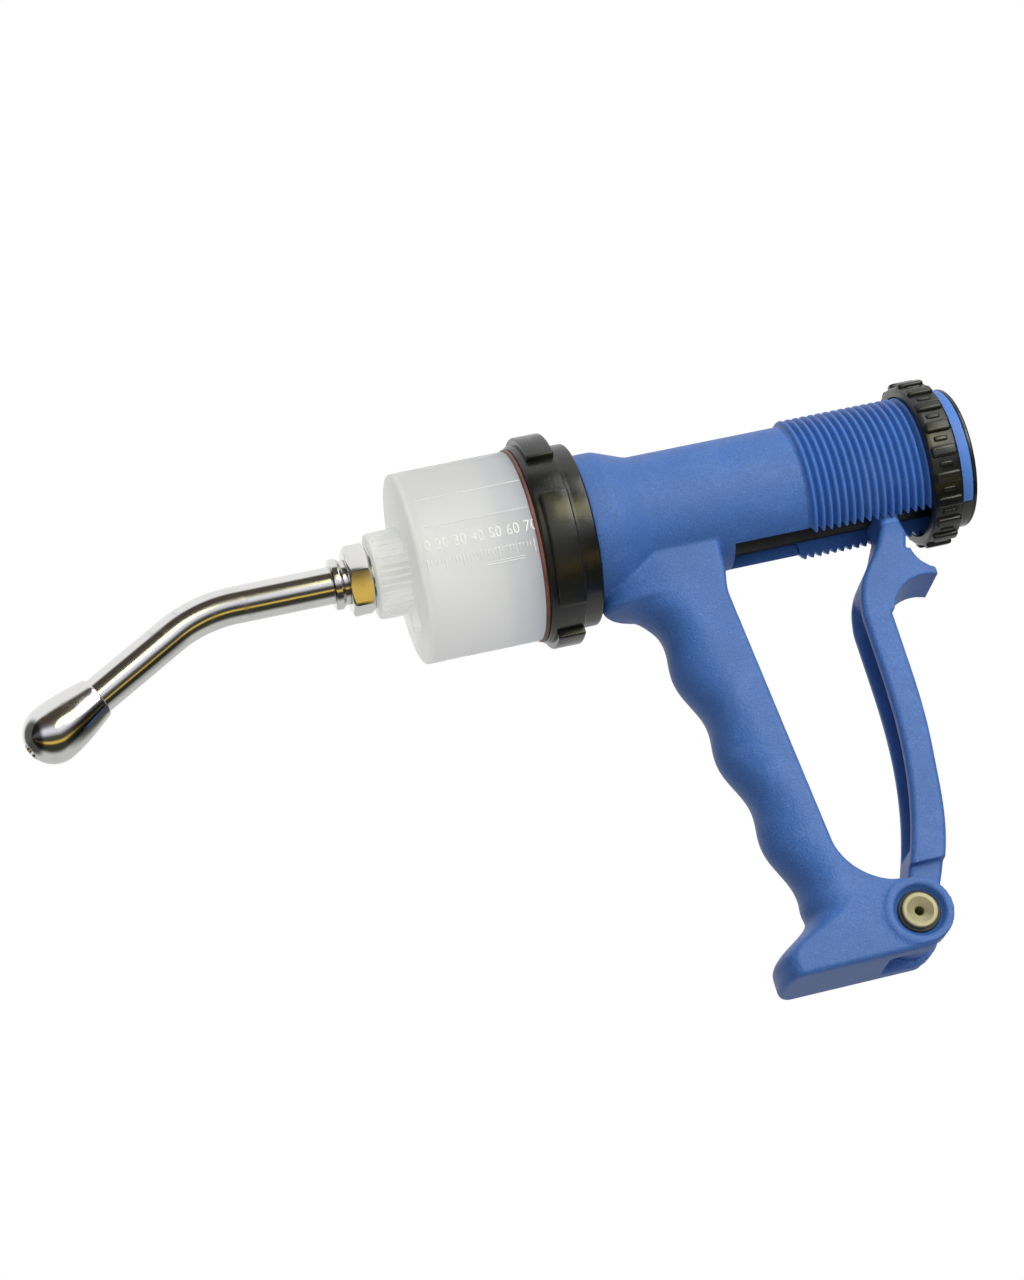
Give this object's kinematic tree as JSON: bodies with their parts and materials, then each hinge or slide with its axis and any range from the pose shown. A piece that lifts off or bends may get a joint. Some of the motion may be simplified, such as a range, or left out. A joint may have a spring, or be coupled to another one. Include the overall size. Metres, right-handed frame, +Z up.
{
  "type": "livestock drencher",
  "caption": "Pistol-form dosing syringe for giving liquid to livestock by mouth: squeeze lever, graduated dose cylinder, screw dose ring and bent olive-tipped nozzle.",
  "frame": {"origin": "point on the barrel's axis where the pistol grip's axis meets it", "axes": "+X along the barrel from the nozzle to the hose inlet, +Z up from the grip to the barrel, +Y to the right of a hand that aims the nozzle"},
  "size_m": [0.2771, 0.061, 0.173],
  "materials": {
    "blue_plastic": "fine-grained moulded",
    "black_plastic": "satin",
    "black_rubber": "matt",
    "brown_rubber": "matt",
    "frosted_plastic": "frosted translucent",
    "valve_plastic": "satin",
    "plated_brass": "polished plating",
    "pin_steel": "machined",
    "spring_steel": "drawn wire"
  },
  "bodies": {
    "body": {"pistol_body": "blue_plastic", "pivot_pin": "pin_steel", "pivot_seals": "black_rubber", "rear_cap": "black_plastic", "return_spring": "spring_steel", "rod_gland": "black_plastic", "rod_seal": "black_rubber", "union_collar": "black_plastic", "union_nut": "black_plastic", "cylinder_seal": "brown_rubber", "dose_cylinder": "frosted_plastic", "outlet_valve_spring": "spring_steel", "nozzle_washer": "plated_brass", "nozzle_nut": "plated_brass", "nozzle_ferrule": "plated_brass", "nozzle_tube": "plated_brass", "nozzle_tip": "plated_brass"},
    "lever": {"squeeze_lever": "blue_plastic"},
    "plunger": {"plunger_sleeve": "black_plastic", "plunger_rod": "black_plastic", "piston": "black_plastic", "piston_o_ring": "black_rubber", "inlet_valve_spring": "spring_steel"},
    "dose_ring": {"dose_ring": "black_plastic"},
    "inlet_valve": {"inlet_valve": "valve_plastic"},
    "outlet_valve": {"outlet_valve": "valve_plastic"}
  },
  "joints": [
    {"name": "lever_squeeze", "type": "hinge", "parent": "body", "child": "lever", "pos_m": [0.0386, 0, -0.1325], "axis": [0, -1, 0], "range_deg": [0, 16.75]},
    {"name": "plunger_slide", "type": "slide", "parent": "body", "child": "plunger", "axis": [-1, 0, 0], "range_m": [0, 0.0354], "stiffness_N_per_m": 400, "springref_m": -0.02, "deforming": ["return_spring"]},
    {"name": "dose_ring_turn", "type": "hinge", "parent": "body", "child": "dose_ring", "pos_m": [0.0846, 0, 0], "axis": [1, 0, 0], "range_deg": [-690, 0]},
    {"name": "inlet_valve_lift", "type": "slide", "parent": "plunger", "child": "inlet_valve", "axis": [-1, 0, 0], "range_m": [0, 0.0015], "stiffness_N_per_m": 100, "springref_m": -0.002, "deforming": ["inlet_valve_spring"]},
    {"name": "outlet_valve_lift", "type": "slide", "parent": "body", "child": "outlet_valve", "axis": [-1, 0, 0], "range_m": [0, 0.0015], "stiffness_N_per_m": 100, "springref_m": -0.002, "deforming": ["outlet_valve_spring"]}
  ],
  "couplings": [
    {"joint": "plunger_slide", "follows": "lever_squeeze", "m_per_rad": 0.12094}
  ]
}
